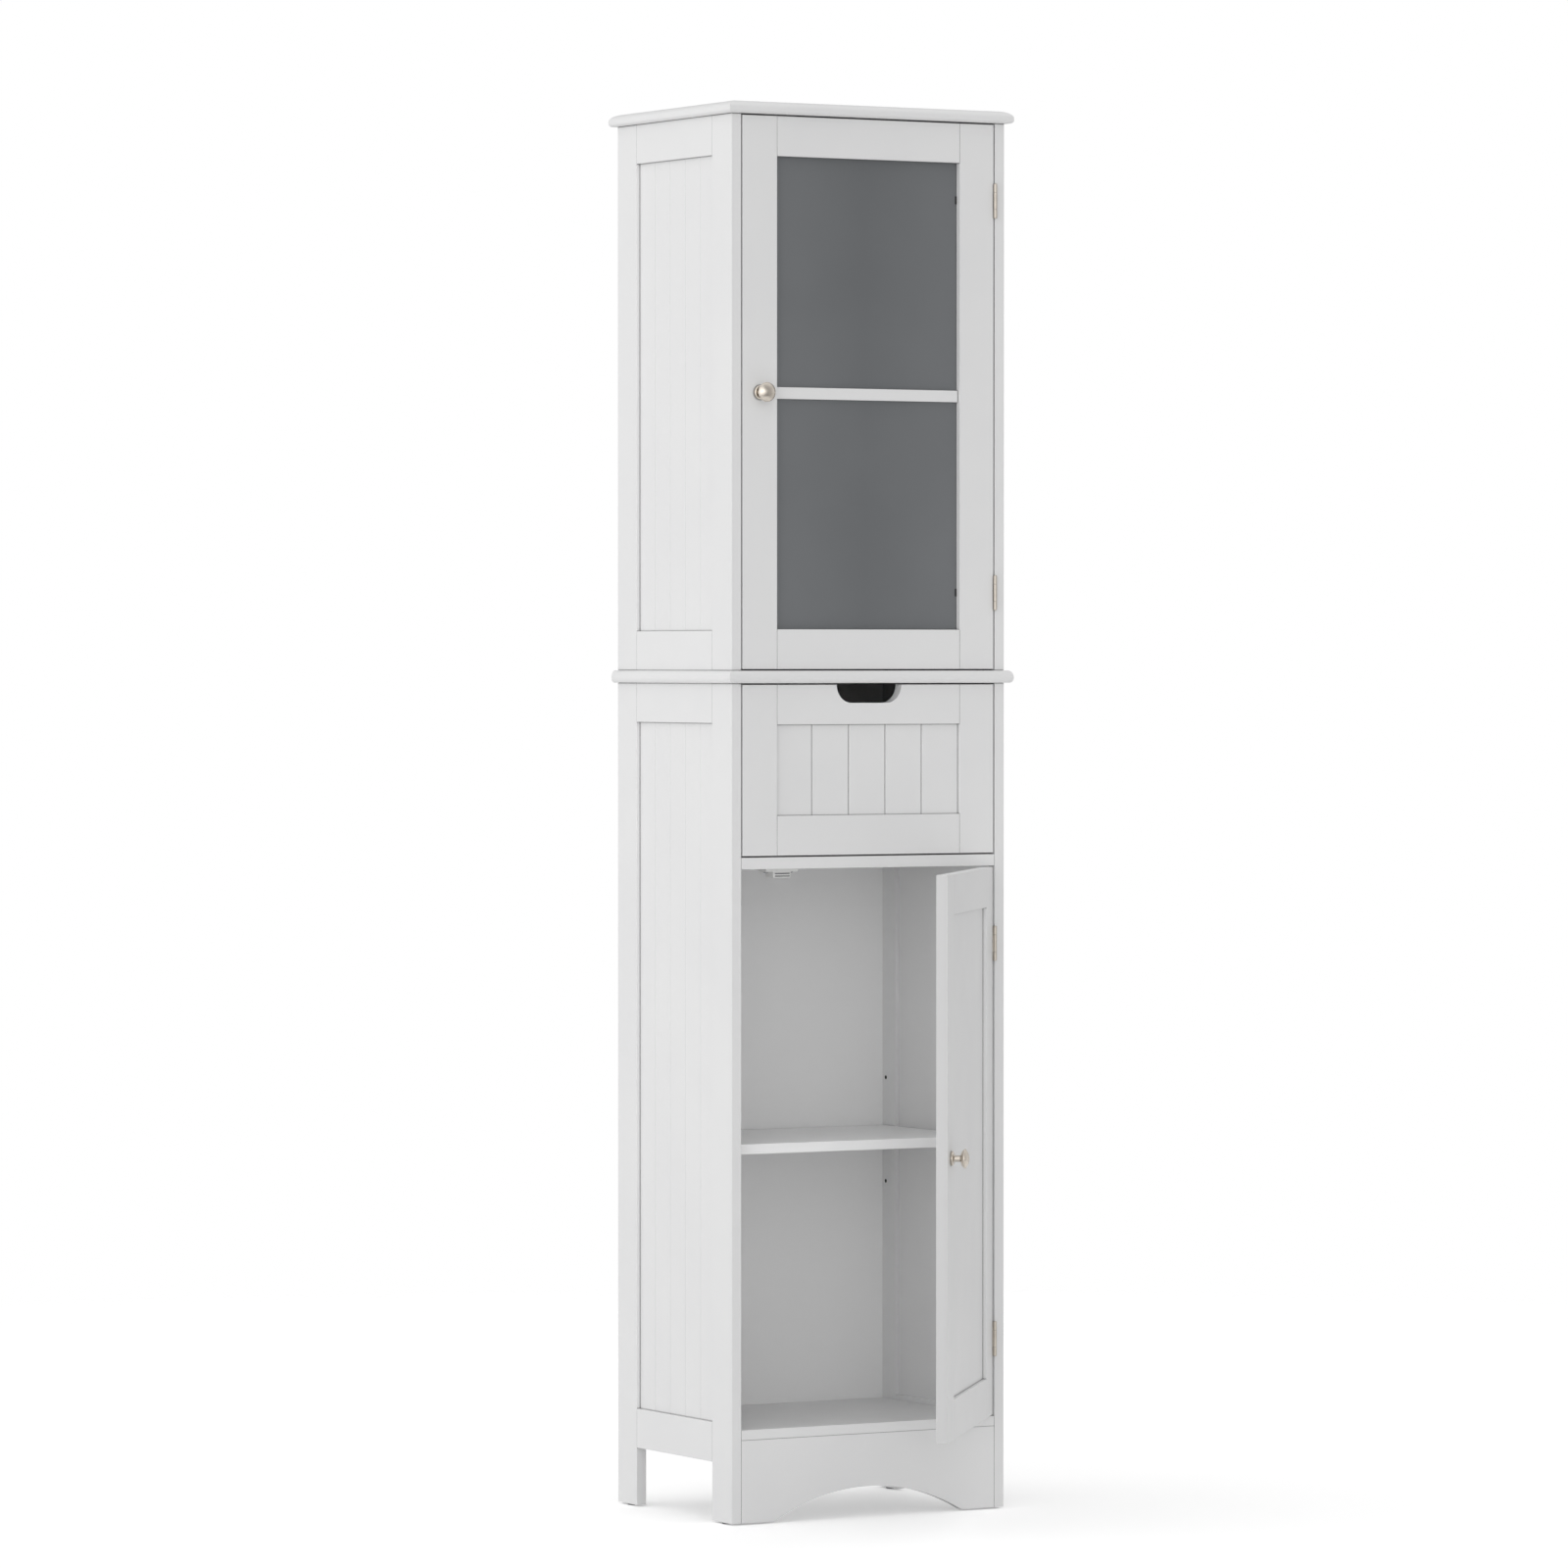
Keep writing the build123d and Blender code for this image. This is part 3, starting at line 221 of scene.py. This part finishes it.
def lacquer(name, tone, shade, drilled=False, edge_shaded=False):
    """Sprayed satin lacquer on board: faint mottling, orange peel and glossier patches.

    Outside the cases, painted shade darkens the joints and creases. The shelf-pin bores of a drilled board have
    raw walls painted near black as shade, and on an edge-shaded door painted shade greys the free edge.
    """
    shader = Shader(name).set(IOR=1.48, Coat_Weight=0.12, Coat_Roughness=0.22)
    mottling = shader.vary(0, 1, per_metre=7, detail=3, spread=(0.35, 0.65))
    paint = shader.blend(mottling, tone, shade)
    if drilled:
        # the bore walls get raw board painted near black, as painted shade
        paint = shader.blend(in_bore(shader), paint, SHADED_RAW_BOARD)
    if edge_shaded:
        # painted shade on the door's free edge
        at_edge = shader.math("GREATER_THAN", shader.from_axis(HINGE_AXIS), EDGE_SHADE_FROM)
        paint = shader.blend(at_edge, paint, EDGE_SHADE)
    # painted shade: joints and creases outside the cases darken towards near black
    out_of_crease_shade = shader.span(shader.openness(CREASE_REACH), CREASE_SHADE_SPREAD, (0, 1))
    unshaded = shader.math("MAXIMUM", out_of_crease_shade, indoors(shader))
    shader.join(shader.blend(unshaded, CREASE_SHADE, paint), "Base Color")
    shader.join(shader.vary(0.36, 0.46, per_metre=26, detail=4), "Roughness")
    peel = shader.bump(shader.noise(per_metre=700, detail=2), distance=0.00005, strength=0.35)
    grain = shader.noise(per_metre=3200, detail=3)
    shader.join(shader.bump(grain, distance=0.00001, strength=0.3, under=peel), "Normal")
    return shader.material


# ------------------------------------------------------------------ glass, metal, plastic, wood
# grey pane tones, dark and pale; the pale one also serves as painted light towards the sides
GLASS_TONES_AND_LIGHT = ((0.212, 0.221, 0.232), (0.262, 0.272, 0.285))
# painted shade: near-black colour for a fitting's hollows
HOLLOW_SHADE = (0.10, 0.085, 0.07)
HOLLOW_SHADE_SPREAD = (0.15, 0.95)  # openness where painted shade covers all, and where it ends
HOLLOW_SHADE_REACH = 0.009          # metres over which painted shade gathers in a fitting's hollows
SCRATCH_STRETCH = (1, 1, 14)   # fine lines across the upright
MOULD_SPREAD = 0.06            # roughness to either side of a plastic's own
BEECH = ((0.62, 0.45, 0.28), (0.74, 0.57, 0.38))
BEECH_FLECK = (0.42, 0.28, 0.17)
FLECK_SPREAD = (0.58, 0.72)    # only the noise's peaks are flecks


def etched_glass():
    """Grey acid-etched pane: a fine frosted face, with painted light making it paler towards its sides."""
    shader = Shader("etched_glass").set(IOR=1.45, Transmission_Weight=0.35)
    # painted light: the pane pales towards its sides
    painted_side_light = shader.span(shader.aside("X"), (0, PANE_HALF), (0, 0.8))
    patchy = shader.vary(-0.15, 0.3, per_metre=5, detail=3)
    shader.join(shader.blend(shader.math("ADD", painted_side_light, patchy), *GLASS_TONES_AND_LIGHT), "Base Color")
    shader.join(shader.vary(0.50, 0.66, per_metre=900, detail=3), "Roughness")
    frost = shader.noise(per_metre=2600, detail=3)
    shader.join(shader.bump(frost, distance=0.00002, strength=0.5), "Normal")
    return shader.material


def satin_metal(name, tone, shade, roughness, reach=HOLLOW_SHADE_REACH):
    """Brushed or tumbled plate: fine scratches in one direction, soft painted shade in its hollows."""
    shader = Shader(name).set(Metallic=1.0)
    plate = shader.blend(shader.vary(0, 1, per_metre=120, detail=3), tone, shade)
    # painted shade gathers in the hollows, darkening the stem and the back of the head
    unshaded = shader.span(shader.openness(reach), HOLLOW_SHADE_SPREAD, (0, 1))
    shader.join(shader.blend(unshaded, HOLLOW_SHADE, plate), "Base Color")
    scratches = shader.noise(per_metre=500, detail=4, stretch=SCRATCH_STRETCH)
    shader.join(shader.span(scratches, NOISE_SPREAD, roughness), "Roughness")
    shader.join(shader.bump(scratches, distance=0.00001, strength=0.25), "Normal")
    return shader.material


def moulded(name, tone, shade, roughness):
    """Moulded plastic with a fine spark-eroded texture."""
    shader = Shader(name).set(IOR=1.49)
    cloud = shader.vary(0, 1, per_metre=60, detail=3)
    shader.join(shader.blend(cloud, tone, shade), "Base Color")
    limits = (roughness - MOULD_SPREAD, roughness + MOULD_SPREAD)
    shader.join(shader.vary(*limits, per_metre=800, detail=3), "Roughness")
    texture = shader.noise(per_metre=2200, detail=2)
    shader.join(shader.bump(texture, distance=0.00002, strength=0.4), "Normal")
    return shader.material


def bare_hardwood():
    """Planed beech: long grain with short dark flecks."""
    shader = Shader("bare_hardwood").set(IOR=1.45)
    long = shader.noise(per_metre=90, detail=5, stretch=(6, 0.35, 6), rough=0.6)
    grain = shader.span(long, NOISE_SPREAD, (0, 1))
    short = shader.noise(per_metre=420, detail=2, stretch=(5, 0.5, 5))
    flecks = shader.span(short, FLECK_SPREAD, (0, 1))
    shader.join(shader.blend(flecks, shader.blend(grain, *BEECH), BEECH_FLECK), "Base Color")
    shader.join(shader.span(grain, (0, 1), (0.52, 0.66)), "Roughness")
    shader.join(shader.bump(grain, distance=0.0001, strength=0.3), "Normal")
    return shader.material


# ------------------------------------------------------------------ finishes of the CAD nodes
LACQUER = ((0.792, 0.792, 0.795), (0.81, 0.81, 0.81))
NICKEL = ((0.86, 0.79, 0.70), (0.68, 0.615, 0.54))
ZINC = ((0.62, 0.63, 0.65), (0.52, 0.53, 0.56))
STEEL = ((0.24, 0.24, 0.25), (0.17, 0.17, 0.18))
WHITE_MOULDING = ((0.78, 0.78, 0.77), (0.82, 0.82, 0.81))
BLACK_MOULDING = ((0.012, 0.012, 0.012), (0.02, 0.02, 0.02))
GREY_MOULDING = ((0.20, 0.20, 0.205), (0.24, 0.24, 0.245))
# white foil for shelves and back panels: its own brighter finish, brightened further as painted light inside the
# cases
FOIL_AND_LIGHT = ((0.945, 0.945, 0.945), (0.96, 0.96, 0.96))
DULL_NICKEL = ((0.72, 0.665, 0.59), (0.64, 0.585, 0.515))

FINISHES = {
    "white_paint": lacquer("white_lacquer", *LACQUER),
    "bare_wood": bare_hardwood(),
    "frosted_glass": etched_glass(),
    "satin_nickel": satin_metal("satin_nickel", *NICKEL, roughness=(0.12, 0.22)),
    "zinc_steel": satin_metal("zinc_plate", *ZINC, roughness=(0.28, 0.42)),
    "pole_steel": satin_metal("rolled_steel", *STEEL, roughness=(0.34, 0.5)),
    "white_plastic": moulded("white_plastic", *WHITE_MOULDING, roughness=0.5),
    "black_plastic": moulded("black_plastic", *BLACK_MOULDING, roughness=0.5),
    "glide_plastic": moulded("glide_plastic", *GREY_MOULDING, roughness=0.55),
}
DRILLED = lacquer("drilled_lacquer", *LACQUER, drilled=True)
# lower door stiles, with painted shade on the free edge
EDGE_SHADED = lacquer("edge_shaded_lacquer", *LACQUER, edge_shaded=True)
# shelves and back panels: foil, part of whose whiteness is painted light
LIT_FOIL = lacquer("lit_white_foil", *FOIL_AND_LIGHT)
HINGE_PLATE = satin_metal("hinge_plate", *DULL_NICKEL, roughness=(0.4, 0.55), reach=0.001)
SPECIAL = {                    # nodes whose finish differs from their material slot's
    "lower_shelf": LIT_FOIL,
    "upper_shelf": LIT_FOIL,
    "lower_back_panel": LIT_FOIL,
    "upper_back_panel": LIT_FOIL,
    "case_hinge_leaves": HINGE_PLATE,
    "upper_door_hinge_leaves": HINGE_PLATE,
    "lower_door_hinge_leaves": HINGE_PLATE,
    "hinge_pins": HINGE_PLATE,
    "lower_left_stiles": DRILLED,
    "lower_right_stiles": DRILLED,
    "upper_left_stiles": DRILLED,
    "upper_right_stiles": DRILLED,
    "lower_door_stiles": EDGE_SHADED,
}

for entry in frame["record"]["subparts"]:
    materials = frame["nodes"][entry["node"]].data.materials
    materials.clear()
    materials.append(SPECIAL.get(entry["node"], FINISHES[entry["material_slot"]]))

# ------------------------------------------------------------------ studio
WHITE = (1, 1, 1, 1)
FLOOR_TONE = (0.92, 0.92, 0.92, 1.0)
FLOOR_GLOW = 0.29              # extra light that the camera sees in the floor
FLOOR_SOLID = 1.6              # metres from the middle where the floor starts to fade
FLOOR_END = 3.2
FLOOR_CORNERS = 360
DOME_EVEN = 0.165              # light that comes evenly from every side
DOME_LOBES = {                 # where more light comes from, how tight, how strong
    "left": ((-1.0, 0.0, 0.1), 1, 0.96),
    "front_left": ((-0.4, -0.9, 0.1), 8, 1.2),
    "front": ((-0.1, -1.0, 0.1), 20, 0.24),
    "right": ((1.0, 0.0, 0.1), 1, 0.48),
    "top": ((0.0, 0.0, 1.0), 4, 0.72),
    "back": ((0.0, 1.0, 0.1), 1, 0.11),
}


def floor():
    """Pale round floor that fades into the white surroundings."""
    turns = [radians(360 * corner / FLOOR_CORNERS) for corner in range(FLOOR_CORNERS)]
    rim = [(FLOOR_END * cos(turn), FLOOR_END * sin(turn), 0) for turn in turns]
    mesh = bpy.data.meshes.new("floor")
    mesh.from_pydata(rim, [], [tuple(range(FLOOR_CORNERS))])
    disc = bpy.data.objects.new("floor", mesh)
    bpy.context.scene.collection.objects.link(disc)
    shader = Shader("floor_white").set(Roughness=0.9, Specular_IOR_Level=0.0,
                                       Base_Color=FLOOR_TONE, Emission_Color=WHITE)
    seen = shader.add("LightPath").outputs["Is Camera Ray"]
    shader.join(shader.span(seen, (0, 1), (0, FLOOR_GLOW)), "Emission Strength")
    away = shader.from_axis((0, 0, 0))
    shader.join(shader.span(away, (FLOOR_SOLID, FLOOR_END), (1, 0)), "Alpha")
    mesh.materials.append(shader.material)


def surroundings():
    """A soft dome of light, brighter from some sides, that the camera itself sees as white."""
    world = bpy.data.worlds.new("studio")
    world.use_nodes = True
    tree = world.node_tree
    toward = tree.nodes.new("ShaderNodeTexCoord").outputs["Generated"]
    total = DOME_EVEN
    for direction, tightness, strength in DOME_LOBES.values():
        facing = tree.nodes.new("ShaderNodeVectorMath")
        facing.operation = "DOT_PRODUCT"
        tree.links.new(toward, facing.inputs[0])
        facing.inputs[1].default_value = Vector(direction).normalized()
        ahead = add_math(tree, "MAXIMUM", facing.outputs["Value"], 0.0)
        lobe = add_math(tree, "POWER", ahead, tightness)
        total = add_math(tree, "ADD", add_math(tree, "MULTIPLY", lobe, strength), total)
    dome = tree.nodes["Background"]
    dome.inputs["Color"].default_value = WHITE
    tree.links.new(total, dome.inputs["Strength"])
    backdrop = tree.nodes.new("ShaderNodeBackground")
    backdrop.inputs["Color"].default_value = WHITE
    mix = tree.nodes.new("ShaderNodeMixShader")
    seen = tree.nodes.new("ShaderNodeLightPath").outputs["Is Camera Ray"]
    tree.links.new(seen, mix.inputs["Fac"])
    tree.links.new(dome.outputs["Background"], mix.inputs[1])
    tree.links.new(backdrop.outputs["Background"], mix.inputs[2])
    tree.links.new(mix.outputs["Shader"], tree.nodes["World Output"].inputs["Surface"])
    bpy.context.scene.world = world


floor()
surroundings()
